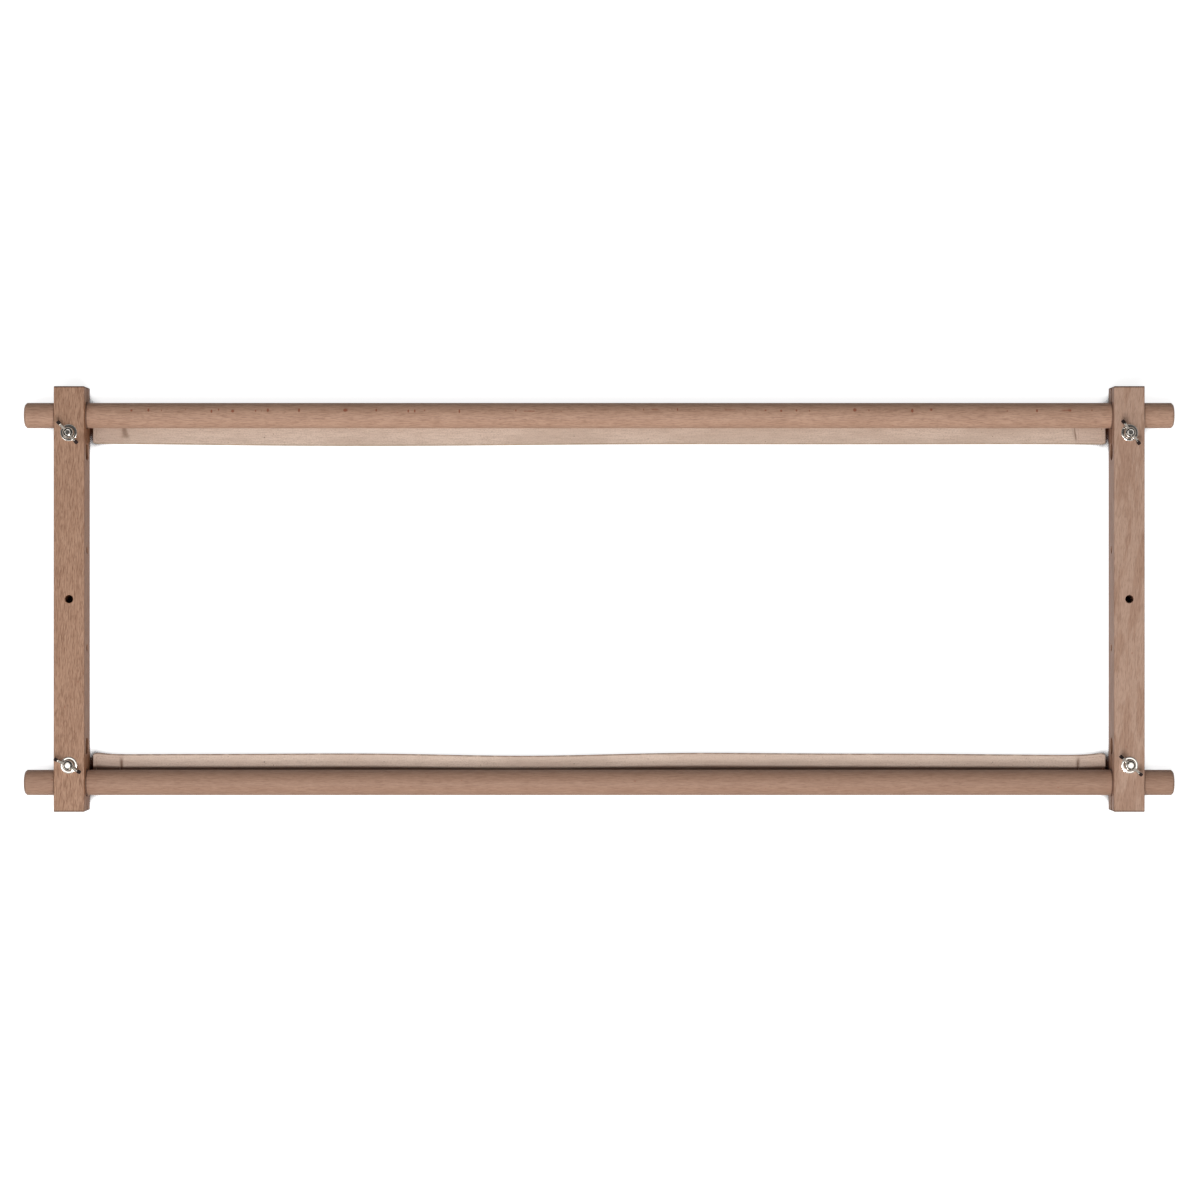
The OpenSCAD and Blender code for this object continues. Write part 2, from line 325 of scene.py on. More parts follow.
def carve(mesh, cutters, operation="DIFFERENCE"):
    """Takes each cutter out of a mesh, or joins it on."""
    work = bpy.data.objects.new("work", mesh)
    bpy.context.scene.collection.objects.link(work)
    tools = []
    for cutter in cutters:
        tool = bpy.data.objects.new("tool", cutter)
        bpy.context.scene.collection.objects.link(tool)
        tools.append(tool)
        modifier = work.modifiers.new("carve", "BOOLEAN")
        modifier.operation = operation
        modifier.solver = "EXACT"
        modifier.object = tool
    done = settle(work)
    for tool in tools:
        bpy.data.objects.remove(tool)
    return done


def settle(work):
    """The mesh of an object with its modifiers applied. The object is removed."""
    bpy.context.view_layer.update()
    evaluated = work.evaluated_get(bpy.context.evaluated_depsgraph_get())
    mesh = bpy.data.meshes.new_from_object(evaluated)
    bpy.data.objects.remove(work)
    return mesh


def crisp(piece, angle=35):
    """Smooth shading that keeps flat faces flat and corners sharp."""
    piece.data.shade_smooth()
    piece.data.set_sharp_from_angle(angle=math.radians(angle))
    weighted = piece.modifiers.new("flat_faces", "WEIGHTED_NORMAL")
    weighted.keep_sharp = True


ALONG_X = Matrix.Rotation(math.pi / 2, 4, "Y")


def side_bar_mesh(low, high):
    """A side bar between two corners, with its slots and holes. A face attribute marks what is sawn or
    bored, where the finish paints the wood dark as shade, and the roller holes are a little long, as
    the wood has worn along the bar."""
    middle_x = (low.x + high.x) / 2
    half_w = (high.x - low.x) / 2
    mouth = 0.5 * MM
    rim = 0.35 * MM

    def across(radius, y, ease, play=0.0):
        deep = half_w + OVERCUT
        wide = radius + ease + OVERCUT
        profile = [
            (0, -deep), (wide, -deep), (radius, -half_w + ease),
            (radius, half_w - ease), (wide, deep), (0, deep),
        ]
        longer = Matrix.Diagonal((1, 1 + play / radius, 1, 1))
        return lathe(profile, 96, longer @ ALONG_X, (middle_x, y, AXIS_Z))

    def through(radius, y, ease):
        wide = radius + ease + OVERCUT
        profile = [
            (0, low.z - OVERCUT), (wide, low.z - OVERCUT), (radius, low.z + ease),
            (radius, high.z - ease), (wide, high.z + OVERCUT), (0, high.z + OVERCUT),
        ]
        return lathe(profile, 64, None, (middle_x, y, 0))

    cutters = [through(STAND_HOLE_R, 0, rim)]
    for end in (-1, 1):
        relief_y = end * (BOLT_Y - RELIEF_REACH)
        past_y = end * (high.y + OVERCUT)
        cutters.append(across(ROLLER_R + ROLLER_CLEAR, end * ROLLER_Y, mouth, HOLE_PLAY))
        cutters.append(block(
            (low.x - OVERCUT, min(relief_y, past_y), AXIS_Z - SLOT_H / 2),
            (high.x + OVERCUT, max(relief_y, past_y), AXIS_Z + SLOT_H / 2),
        ))
        cutters.append(across(RELIEF_R, relief_y, rim))
        cutters.append(through(BOLT_HOLE_R, end * BOLT_Y, rim))
        cutters.append(across(BRACKET_HOLE_R, end * BRACKET_PITCH / 2, rim))
    mesh = carve(block(low, high, EASED_R), cutters)
    # Faces inside the cuts and holes are marked, and the finish paints them dark brown as painted
    # shade.
    cut = mesh.attributes.new("cut", "FLOAT", "FACE")
    for face, mark in zip(mesh.polygons, cut.data):
        low_side = min(a - b for a, b in zip(face.center, low))
        high_side = min(b - a for a, b in zip(face.center, high))
        mark.value = 1.0 if min(low_side, high_side) > EASED_R * 1.3 else 0.0
    return mesh


def beech(name, along, pale, dark, strokes, patches, lean, seed, marks, side_shade_tint=None):
    """Beech as a solid texture. along is the axis that the grain runs on, strokes how strongly the
    rays show as fine dark strokes, patches how much the tone drifts, and lean how far both slant.
    marks colours it further, with painted shade and knots, and side_shade_tint is painted shade: how
    much darker and warmer the upright faces are painted than the front."""
    material, graph = new_finish(name)
    place = graph.add("ShaderNodeTexCoord", out="Object")
    x, y, z = graph.split(place)
    grain, across = (x, y) if along == "X" else (y, x)
    across = across - grain * lean
    grain = grain + seed * 517.0
    across = across + (graph.noise(across / 11, grain / 34, z / 11, 1.0) - 0.5) * 3

    # The rays show as dark strokes and pale flecks, over a finer fibre and a slow drift of tone
    streaks = graph.noise(across * 1.8, grain * 0.12, z * 1.8, 1.0)
    rays = streaks.ease(0.52, 0.64)
    flecks = streaks.ease(0.50, 0.42)
    short_rays = graph.noise(across * 2.2, grain * 0.34, z * 2.2, 0.5).ease(0.54, 0.68)
    fibre = graph.noise(across * 1.6, grain * 0.08, z * 1.6, 3.0, 0.6)
    drift = graph.noise(across / 7, grain / 38, z / 7, 2.0, 0.55)
    spots = graph.specks(across / 5, grain / 12, z / 5, 0.1)

    facing = graph.add("ShaderNodeTexCoord", out="Normal")
    facing_parts = graph.add("ShaderNodeSeparateXYZ", None, {0: facing})
    end_grain = facing_parts.out(along).math("ABSOLUTE").ease(0.72, 0.9)
    side = facing_parts.out("Z").math("ABSOLUTE").ease(0.9, 0.4)

    tone = drift.ease(0.42, 0.56) * patches + fibre.ease(0.3, 0.7) * (0.8 - patches * 0.6)
    colour = graph.mix(tone, pale, dark)
    colour = graph.mix(flecks * strokes * 0.4, colour, srgb(214, 178, 152))
    colour = graph.mix(rays * strokes, colour, srgb(112, 76, 54))
    colour = graph.mix(short_rays * (strokes * 0.8), colour, srgb(104, 70, 50))
    colour = graph.mix(spots * 0.5, colour, srgb(150, 84, 62))
    colour = graph.mix(end_grain * 0.5, colour, srgb(124, 88, 66))
    # Painted shade: faces inside the saw cuts and bored holes are coloured dark brown.
    cut = graph.add("ShaderNodeAttribute", {"attribute_name": "cut"}, out="Fac")
    colour = graph.mix(cut * 0.85, colour, srgb(104, 68, 46))
    # Painted shade on the upright faces, multiplied in from side_shade_tint.
    if side_shade_tint:
        colour = graph.mix(side, colour, side_shade_tint, "MULTIPLY")
    colour = marks(graph, colour, x, y, z)

    relief = fibre * 0.4 - rays * 0.5 - short_rays * 0.4
    bump = graph.add("ShaderNodeBump", None, {"Strength": 0.4, "Distance": 0.05 * MM, "Height": relief})
    surface(graph, {
        "Base Color": colour,
        "Roughness": fibre.ease(0.2, 0.8) * 0.14 + 0.5,
        "Normal": bump,
        "Specular IOR Level": 0.2,
    })
    return material


BAR_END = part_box("side_bar_left")[1].y / MM


def shaded_end_rims(graph, colour, x, y, z):
    """Painted shade along the rims at both ends of a bar, darker at the top end than at the bottom."""
    rim = y.math("ABSOLUTE").ease(BAR_END - 1.7, BAR_END - 0.5) * (y.ease(-1, 1) * 0.25 + 0.5)
    return graph.mix(rim, colour, srgb(74, 50, 38))


# The last tuple of each bar is the painted shade of its upright faces.
BAR_FINISH = {
    "left": beech(
        "beech_left_bar", "Y", srgb(183, 144, 119), srgb(166, 127, 103), 0.42, 0.3, 0.04, 1,
        shaded_end_rims, (0.82, 0.66, 0.53, 1),
    ),
    "right": beech(
        "beech_right_bar", "Y", srgb(193, 160, 140), srgb(174, 138, 117), 0.23, 0.7, 0.06, 2,
        shaded_end_rims, (0.9, 0.83, 0.82, 1),
    ),
}
for hand in ("left", "right"):
    node = f"side_bar_{hand}"
    piece = put(f"beech_{node}", side_bar_mesh(*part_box(node)), BAR_FINISH[hand])
    crisp(piece)
    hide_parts(node)
    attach(piece, NODE_BODY[node])

# The rollers: two long beech dowels, turned true and sanded, with a small chamfer at each end.
# They run through both side bars and stand out past them, so that they can be turned by hand.
ROLLER_EASE = 1.5 * MM
ROLLER_SEGMENTS = 128


def roller_mesh(low, high):
    half = (high.x - low.x) / 2
    soft = 0.25 * MM
    end = [
        (0, half), (ROLLER_R - ROLLER_EASE - soft, half),
        (ROLLER_R - ROLLER_EASE + soft * 0.6, half - soft * 0.6),
        (ROLLER_R - soft * 0.6, half - ROLLER_EASE + soft * 0.6),
        (ROLLER_R, half - ROLLER_EASE - soft),
    ]
    profile = [(r, -z) for r, z in end] + [(r, z) for r, z in end[::-1]]
    return lathe(profile, ROLLER_SEGMENTS, ALONG_X, ((low + high) / 2))


# In millimetres, as the finishes count
BAR_FACES = sorted(abs(corner.x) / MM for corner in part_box("side_bar_left"))
RING_OFF = 0.4
KNOT_ROW_Y = ROLLER_Y / MM + 3.2
KNOT_PITCH = 10


def shaded_rings(graph, colour, x, y, z):
    """Painted shade: dark rings on a roller just outside each face of the bars, where it enters them.
    """
    for at in (BAR_FACES[0] - RING_OFF, BAR_FACES[1] + RING_OFF):
        ring = (x.math("ABSOLUTE") - at).math("ABSOLUTE").ease(0.9, 0.3)
        colour = graph.mix(ring * 0.7, colour, srgb(70, 44, 32))
    return colour


def knots_and_rings(graph, colour, x, y, z):
    """The same painted shade rings, and a row of small reddish pin knots along the front of the top
    roller.
    """
    run = (x + graph.noise(x / 30, 0.0, 5.0, 1.0) * 70) / KNOT_PITCH
    off = y - KNOT_ROW_Y
    row = graph.specks(run, off / KNOT_PITCH + 0.05, 0.05, 0.2, 0.15)
    near = off.math("ABSOLUTE").ease(4, 2) * z.ease(AXIS_Z / MM, AXIS_Z / MM + 2)
    near = near * x.math("ABSOLUTE").ease(BAR_FACES[0], BAR_FACES[0] - 2)
    return shaded_rings(graph, graph.mix(row * near * 0.8, colour, srgb(142, 78, 56)), x, y, z)


ROLLER_FINISH = {
    "top": beech(
        "beech_top_roller", "X", srgb(195, 157, 134), srgb(178, 140, 118), 0.25, 0.3, 0, 3,
        knots_and_rings,
    ),
    "bottom": beech(
        "beech_bottom_roller", "X", srgb(175, 140, 119), srgb(161, 126, 106), 0.18, 0.2, 0, 4,
        shaded_rings,
    ),
}
for end in ("top", "bottom"):
    node = f"roller_{end}"
    piece = put(f"beech_{node}", roller_mesh(*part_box(node)), ROLLER_FINISH[end])
    crisp(piece)
    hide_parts(node)
    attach(piece, NODE_BODY[node])

# The webbing: a strip of plain woven cotton along each roller, which the canvas is sewn to. Its
# ends are folded under and sewn down, one edge is stapled round the back of the roller, and the
# other edge stays free.
TAPE_T = 0.8 * MM
HEM = 23 * MM
TAPE_STEP = 2 * MM
TAPE_CORNER = 2.4 * MM
TAPE_EDGE_R = 0.2 * MM
FOLD_R = 0.525  # in thicknesses: half of how far apart the webbing and its hem lie
GRIP = 9.3 * MM
# Where the hems pucker: place along the webbing, lean, half width and depth in mm, how far out the dent
# reaches and how dark its painted shade is
CREASES = {
    1: (
        (-357.5, 2.4, 1.9, 0.7, 0.6, 0.6), (356.2, 1.2, 0.4, 0.2, 0.5, 0.25),
        (357.6, 1.6, 0.55, 0.5, 0.75, 0.7),
    ),
    -1: ((-359.4, -0.3, 0.9, 0.5, 0.7, 0.75), (360.1, 0.6, 0.85, 0.5, 0.7, 0.75)),
}

tape_low, tape_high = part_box("webbing_top")
TAPE_END = tape_high.x
TAPE_FREE = ROLLER_Y - tape_low.y


def wander(end, x):
    """How far the free edge lies from its mean line: the webbing isn't stapled quite straight."""
    u = x / TAPE_END
    turn = math.pi * u
    if end > 0:
        off = 0.36 + 0.31 * u - 0.76 * math.sin(turn) + 0.13 * math.cos(turn)
        off -= 0.31 * math.cos(2 * turn)
    else:
        off = 0.35 * math.sin(turn) - 0.26 - 0.15 * u + 0.47 * math.sin(2 * turn)
        off += 0.32 * math.sin(3 * turn) + 0.21 * math.sin(4 * turn) - 0.39 * math.cos(2 * turn)
        off += 1.3 * math.exp(-(((1 - abs(u)) / 0.03) ** 2))
    return MM * off


def ruffle(end, x):
    """How far the free edge stands out of its plane."""
    u = x / TAPE_END
    return MM * (0.45 * math.sin(14 * u + end) + 0.3 * math.sin(31 * u + 2 * end))


def crease(end, x, y):
    """The sharp dents where the folded hems stop, deepest beside the roller: how far the webbing rises,
    and how dark the painted shade in the dent is."""
    out = max(0.0, (y - ROLLER_R) / (TAPE_FREE - ROLLER_R))
    rise = 0.0
    shade = 0.0
    for at, lean, half, deep, reach, dark in CREASES[end]:
        away = abs(x / MM - at - lean * out) / (half * (1 + out))
        fade = math.exp(-((out / reach) ** 6))
        rise += deep * fade * (0.3 * math.exp(-((away / 2.4) ** 2)) - math.exp(-(away ** 1.5)))
        shade += dark * fade * math.exp(-(away ** 3))
    return rise * MM, min(1.0, shade)


def tape_run(end, x, across):
    """How far out from the roller's axis a line of the webbing lies at x: across runs from 0 at the
    stapled edge to 1 at the free edge."""
    free = TAPE_FREE + wander(end, x)
    grip = GRIP - wander(end, x)
    corner = max(0.0, TAPE_CORNER - (TAPE_END - abs(x)))
    free -= TAPE_CORNER - math.sqrt(max(0.0, TAPE_CORNER**2 - corner**2))
    return across * (free + grip) - grip


def tape_point(end, x, across, layer):
    """A point of the webbing. layer is 0 for the webbing and 1 for the hem folded behind it."""
    radius = ROLLER_R + TAPE_T * (0.5 + layer * 2 * FOLD_R)
    s = tape_run(end, x, across)
    if s < 0:
        angle = s / (ROLLER_R + TAPE_T / 2)
        y, z = radius * math.sin(angle), -radius * math.cos(angle)
    else:
        y = s
        z = -radius + ruffle(end, x) * (s / TAPE_FREE) ** 2 + crease(end, x, s)[0]
    return Vector((x, end * (ROLLER_Y - y), AXIS_Z + z))


def tape_path():
    """The webbing's middle line from hem to hem: pairs of x and layer, and the length so far."""
    fold = TAPE_T * FOLD_R
    flat_end = TAPE_END - TAPE_T / 2 - fold
    right = []
    hem_steps = 11
    for i in range(hem_steps + 1):
        right.append((TAPE_END - HEM + (HEM - fold - TAPE_T / 2) * i / hem_steps, 1.0))
    fold_steps = 6
    for i in range(1, fold_steps):
        angle = math.pi * i / fold_steps
        right.append((flat_end + fold * math.sin(angle), 0.5 + 0.5 * math.cos(angle)))
    count = round(2 * flat_end / TAPE_STEP)
    stops = {-flat_end + 2 * flat_end * i / count for i in range(count + 1)}
    fine_step = TAPE_STEP / 8
    for at in (side * (TAPE_END - HEM) for side in (-1, 1)):
        stops.update(at + i * fine_step for i in range(-30, 31))
    flat = [(x, 0.0) for x in sorted(stops)]
    return [(-x, layer) for x, layer in right] + flat + [(x, layer) for x, layer in right[::-1]]


ACROSS_STEPS = 26


def tape_mesh(end):
    """One strip of webbing with UVs in metres, along it and then across it, and with a vertex
    attribute for the shade of the dents."""
    path = tape_path()
    bm = bmesh.new()
    uv = bm.loops.layers.uv.new("cloth")
    dent = bm.verts.layers.float.new("dent")
    rows = []
    run = 0.0
    runs = []
    for i, (x, layer) in enumerate(path):
        if i:
            before = path[i - 1]
            run += math.hypot(x - before[0], (layer - before[1]) * TAPE_T)
        runs.append(run)
        row = []
        for j in range(ACROSS_STEPS + 1):
            across = j / ACROSS_STEPS
            row.append(bm.verts.new(tape_point(end, x, across, layer)))
            row[-1][dent] = crease(end, x, tape_run(end, x, across))[1]
        rows.append(row)
    width = TAPE_FREE + GRIP
    for i in range(len(path) - 1):
        for j in range(ACROSS_STEPS):
            ids = ((i, j), (i + 1, j), (i + 1, j + 1), (i, j + 1))
            face = bm.faces.new([rows[a][b] for a, b in ids])
            for loop, (a, b) in zip(face.loops, ids):
                loop[uv].uv = (runs[a], b / ACROSS_STEPS * width)
    bmesh.ops.recalc_face_normals(bm, faces=bm.faces)
    mesh = bpy.data.meshes.new("webbing")
    bm.to_mesh(mesh)
    bm.free()
    return mesh, run, width


def webbing_finish(name, dark, pale, edge_shade_tone, roller_shade):
    """Undyed cotton in a plain weave, with seed specks left in the yarn. The doubled hems look a little
    deeper in colour. The dents beside them are painted darker as shade, and the free edge gets painted
    shade in edge_shade_tone. roller_shade is how dark the painted shade on its front is along the line
    where it leaves the roller."""
    material, graph = new_finish(name)
    uv = graph.add("ShaderNodeUVMap", {"uv_map": "cloth"})
    along, across, _ = graph.split(uv)
    warp_mm = 0.62
    pick_mm = 0.9
    drift = (graph.noise(along / 5, across / 5, 0.0) - 0.5) * 0.35
    warp = ((across + drift) / warp_mm * math.pi).math("SINE")
    pick = ((along + drift) / pick_mm * math.pi).math("SINE")
    over = (warp * pick).math("SIGN") * 0.5 + 0.5
    warp_height = warp.math("ABSOLUTE") * (over * 0.45 + 0.55)
    pick_height = pick.math("ABSOLUTE") * (over * -0.45 + 1.0)
    height = warp_height.math("MAXIMUM", pick_height * 0.9)
    yarn = graph.noise(along * 0.8, across * 1.1, 0.0, 3.0, 0.65)
    slub = graph.noise(along / 9, across * 1.1, 0.3, 1.0)
    stain = graph.noise(along / 60, across / 14, 0.7, 2.0)
    tone = height.ease(0.3, 1.0) * 0.2 + yarn.ease(0.3, 0.6) * 0.5 + slub.ease(0.3, 0.6) * 0.3
    colour = graph.mix(tone, dark, pale)
    colour = graph.mix(stain.ease(0.4, 0.65) * 0.4, colour, dark)
    seeds = graph.specks(along / 9, across / 9, 0.0, 0.085)
    dust = graph.specks(along / 2.6, across / 2.6, 0.4, 0.18)
    colour = graph.mix(dust * 0.5, colour, srgb(150, 118, 96))
    colour = graph.mix(seeds * 0.7, colour, srgb(110, 78, 56))
    place = graph.add("ShaderNodeTexCoord", out="Object")
    x, _, _ = graph.split(place)
    doubled = x.math("ABSOLUTE").ease((TAPE_END - HEM) / MM - 0.4, (TAPE_END - HEM) / MM + 0.4)
    colour = graph.mix(doubled * 0.14, colour, srgb(176, 140, 126))
    width = (TAPE_FREE + GRIP) / MM
    # Painted shade in dashes along the free edge.
    free_edge_shade = across.ease(width - 1.3, width - 0.5) * graph.noise(along / 7, 0.0, 0.9).ease(0.1, 0.6)
    colour = graph.mix(free_edge_shade * 0.75, colour, edge_shade_tone)
    # Painted shade on the front, along the line where the webbing leaves the roller.
    leaving = (across - (ROLLER_R + GRIP) / MM).math("ABSOLUTE").ease(3.3, 1.0)
    facing = graph.add("ShaderNodeTexCoord", out="Normal")
    front = graph.add("ShaderNodeSeparateXYZ", None, {0: facing}).out("Z").ease(-0.1, 0.2)
    colour = graph.mix(leaving * front * roller_shade, colour, srgb(104, 72, 54))
    # Painted shade in the dents beside the hems.
    dent = graph.add("ShaderNodeAttribute", {"attribute_name": "dent"}, out="Fac")
    colour = graph.mix(dent, colour, srgb(112, 80, 60))
    relief = height + yarn * 0.5
    bump = graph.add("ShaderNodeBump", None, {"Strength": 0.8, "Distance": 0.16 * MM, "Height": relief})
    surface(graph, {
        "Base Color": colour,
        "Roughness": 0.9,
        "Normal": bump,
        "Specular IOR Level": 0.2,
    })
    return material


# The two strips are the same cotton: the bottom one is painted paler to make up for the light it gets,
# and it gets darker painted shade along its free edge and beside its roller.
COTTON = {
    "top": webbing_finish(
        "cotton_webbing_top", srgb(190, 165, 147), srgb(230, 207, 190), srgb(174, 148, 120), 0.05
    ),
    "bottom": webbing_finish(
        "cotton_webbing_bottom", srgb(207, 181, 164), srgb(239, 216, 199), srgb(120, 94, 76), 0.78
    ),
}


def thread_finish():
    """Cotton sewing thread, a little deeper in colour than the webbing, with its twist."""
    material, graph = new_finish("sewing_thread")
    place = graph.add("ShaderNodeTexCoord", out="Object")
    x, y, _ = graph.split(place)
    twist = ((x + y) * 9).math("SINE") * 0.5 + 0.5
    colour = graph.mix(twist * 0.6, srgb(200, 172, 154), srgb(172, 142, 124))
    bump = graph.add("ShaderNodeBump", None, {"Strength": 0.5, "Distance": 0.05 * MM, "Height": twist})
    surface(graph, {"Base Color": colour, "Roughness": 0.8, "Normal": bump})
    return material


THREAD = thread_finish()


def new_tree(name, inputs):
    """A geometry node tree with named inputs, and the wires that carry them."""
    tree = bpy.data.node_groups.new(name, "GeometryNodeTree")
    graph = Graph(tree)
    tree.interface.new_socket("Geometry", in_out="INPUT", socket_type="NodeSocketGeometry")
    for title, kind in inputs.items():
        tree.interface.new_socket(title, in_out="INPUT", socket_type=f"NodeSocket{kind}")
    tree.interface.new_socket("Geometry", in_out="OUTPUT", socket_type="NodeSocketGeometry")
    start = graph.add("NodeGroupInput")
    return tree, graph, {title: start.out(title) for title in ("Geometry", *inputs)}


def end_tree(graph, geometry_wire, material_wire):
    """Realizes the instances, sets the material and closes the tree."""
    real = graph.add("GeometryNodeRealizeInstances", None, {0: geometry_wire})
    painted = graph.add("GeometryNodeSetMaterial", None, {"Geometry": real, "Material": material_wire})
    graph.add("NodeGroupOutput", None, {0: painted})


def grow(mesh, tree, values):
    """Runs a tree on a mesh and returns the result as a plain mesh."""
    work = bpy.data.objects.new("work", mesh)
    bpy.context.scene.collection.objects.link(work)
    modifier = work.modifiers.new("grow", "NODES")
    modifier.node_group = tree
    for item in tree.interface.items_tree:
        if item.in_out == "INPUT" and item.name in values:
            modifier[item.identifier] = values[item.name]
    return settle(work)


def stitch_tree():
    """Short threads end to end along a line of edges."""
    tree, graph, given = new_tree("stitches", {
        "Stitch length": "Float", "Gap": "Float", "Thread": "Float", "Finish": "Material",
    })
    line = graph.add("GeometryNodeMeshToCurve", None, {0: given["Geometry"]})
    step = given["Stitch length"] + given["Gap"]
    dots = graph.add("GeometryNodeCurveToPoints", {"mode": "LENGTH"}, {"Curve": line, "Length": step})
    ball = graph.add("GeometryNodeMeshUVSphere", None, {"Segments": 8, "Rings": 6, "Radius": 0.5})
    long_way = graph.add("ShaderNodeCombineXYZ", None, {
        0: given["Thread"], 1: given["Thread"] * 0.8, 2: given["Stitch length"],
    })
    laid = graph.add("GeometryNodeInstanceOnPoints", None, {
        "Points": dots, "Instance": ball, "Rotation": dots.out("Rotation"), "Scale": long_way,
    })
    end_tree(graph, laid, given["Finish"])
    return tree


STITCHES = stitch_tree()
STITCH_INSET = 2.6 * MM
STITCH_LENGTH = 2.3 * MM
STITCH_GAP = 0.5 * MM
STITCH_FROM_AXIS = 3.5 * MM  # how far out from the roller's axis the sewn box starts
THREAD_T = 0.42 * MM


def stitch_lines(end):
    """The sewn box of each hem, on the front of the webbing and again on its back."""
    side_steps = 8
    bm = bmesh.new()
    for side in (-1, 1):
        outer = TAPE_END - STITCH_INSET
        inner = TAPE_END - HEM + STITCH_INSET
        free = 1 - STITCH_INSET / (TAPE_FREE + GRIP)
        held = (GRIP + STITCH_FROM_AXIS) / (TAPE_FREE + GRIP)
        corners = ((outer, held), (outer, free), (inner, free), (inner, held))
        for layer in (0, 1):
            lift = TAPE_T * 0.5 * (1 if layer == 0 else -1)
            loop = []
            for (x0, a0), (x1, a1) in zip(corners, corners[1:] + corners[:1]):
                for i in range(side_steps):
                    x = x0 + (x1 - x0) * i / side_steps
                    a = a0 + (a1 - a0) * i / side_steps
                    point = tape_point(end, side * x, a, layer)
                    loop.append(bm.verts.new(point + Vector((0, 0, lift))))
            for i in range(len(loop)):
                bm.edges.new((loop[i], loop[(i + 1) % len(loop)]))
    mesh = bpy.data.meshes.new("stitch_lines")
    bm.to_mesh(mesh)
    bm.free()
    return mesh


for end_name, end in (("top", 1), ("bottom", -1)):
    mesh, tape_cut, tape_width = tape_mesh(end)
    strip = bpy.data.objects.new("strip", mesh)
    bpy.context.scene.collection.objects.link(strip)
    thick = strip.modifiers.new("thickness", "SOLIDIFY")
    thick.thickness = TAPE_T
    thick.offset = 0
    thick.use_even_offset = True
    rim = strip.modifiers.new("edges", "BEVEL")
    rim.width = TAPE_EDGE_R
    rim.segments = 2
    rim.limit_method = "ANGLE"
    rim.angle_limit = math.radians(60)
    body = NODE_BODY[f"webbing_{end_name}"]
    webbing = put(f"cotton_webbing_{end_name}", settle(strip), COTTON[end_name])
    webbing.data.shade_smooth()
    stitching = put(
        f"hem_stitching_{end_name}",
        grow(stitch_lines(end), STITCHES, {
            "Stitch length": STITCH_LENGTH, "Gap": STITCH_GAP, "Thread": THREAD_T, "Finish": THREAD,
        }),
        THREAD,
    )
    stitching.data.shade_smooth()
    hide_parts(f"webbing_{end_name}")
    for piece in (webbing, stitching):
        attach(piece, body)

# The staples: galvanised wire staples that hold the webbing down along the back of each roller,
# their crowns in line with it and their legs in the wood.
STAPLE_CROWN = 12 * MM
STAPLE_LEG = 6 * MM
STAPLE_W = 1.2 * MM
STAPLE_T = 0.6 * MM
STAPLE_BEND_R = 0.7 * MM
STAPLE_EDGE_R = 0.15 * MM
STAPLE_PITCH = 90 * MM
staple_low, staple_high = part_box("staples_top")
STAPLE_COUNT = round((staple_high.x - staple_low.x - STAPLE_CROWN) / STAPLE_PITCH) + 1


def staple_tree():
    """A row of bent staples. Each is a flat wire swept along a leg, the crown and a leg."""
    tree, graph, given = new_tree("staples", {
        "Count": "Int", "Pitch": "Float", "Wire width": "Float", "Wire thickness": "Float",
        "Finish": "Material",
    })
    bent = graph.add("GeometryNodeMeshToCurve", None, {0: given["Geometry"]})
    rounded = graph.add("GeometryNodeFilletCurve", {"mode": "POLY"}, {
        "Curve": bent, "Count": 4, "Radius": STAPLE_BEND_R,
    })
    outline = graph.add("GeometryNodeCurvePrimitiveQuadrilateral", {"mode": "RECTANGLE"}, {
        "Width": given["Wire thickness"], "Height": given["Wire width"],
    })
    soft = graph.add("GeometryNodeFilletCurve", {"mode": "POLY"}, {
        "Curve": outline, "Count": 2, "Radius": STAPLE_EDGE_R,
    })
    wire = graph.add("GeometryNodeCurveToMesh", None, {
        "Curve": rounded, "Profile Curve": soft, "Fill Caps": True,
    })
    start = graph.add("ShaderNodeCombineXYZ", None, {0: (given["Count"] - 1) * given["Pitch"] * -0.5})
    step = graph.add("ShaderNodeCombineXYZ", None, {0: given["Pitch"]})
    row = graph.add("GeometryNodeMeshLine", None, {
        "Count": given["Count"], "Start Location": start, "Offset": step,
    })
    laid = graph.add("GeometryNodeInstanceOnPoints", None, {"Points": row, "Instance": wire})
    end_tree(graph, laid, given["Finish"])
    return tree


def metal(name, tint, roughness, mottle, grit):
    """Bright plated metal. mottle is how much the plating's tint varies, and grit how rough it is.
    Where a mesh has the attribute painted_dark, the colour is painted nearly black and rougher, as
    painted dark reflection and shade."""
    material, graph = new_finish(name)
    place = graph.add("ShaderNodeTexCoord", out="Object")
    x, y, z = graph.split(place)
    cloud = graph.noise(x / 2.2, y / 2.2, z / 2.2, 3.0)
    grain = graph.noise(x * 3.5, y * 3.5, z * 3.5, 2.0)
    scratch = graph.noise((x + y) * 5, (x - y) * 0.6, z * 5, 2.0).ease(0.55, 0.75)
    colour = graph.mix(cloud.ease(0.3, 0.75) * mottle, tint, srgb(130, 121, 112))
    bump = graph.add("ShaderNodeBump", None, {
        "Strength": 0.25, "Distance": 0.03 * MM, "Height": (grain + scratch * 0.3) * grit,
    })
    painted_dark = graph.add("ShaderNodeAttribute", {"attribute_name": "painted_dark"}, out="Fac")
    # Painted dark reflection on the wing tips and painted shade at the hub's foot, where painted_dark
    # is set.
    colour = graph.mix(painted_dark, colour, srgb(52, 42, 40))
    surface(graph, {
        "Base Color": colour,
        "Metallic": 1.0,
        "Roughness": cloud * 0.08 + scratch * 0.06 + painted_dark * 0.3 + (roughness - 0.04),
        "Normal": bump,
    })
    return material


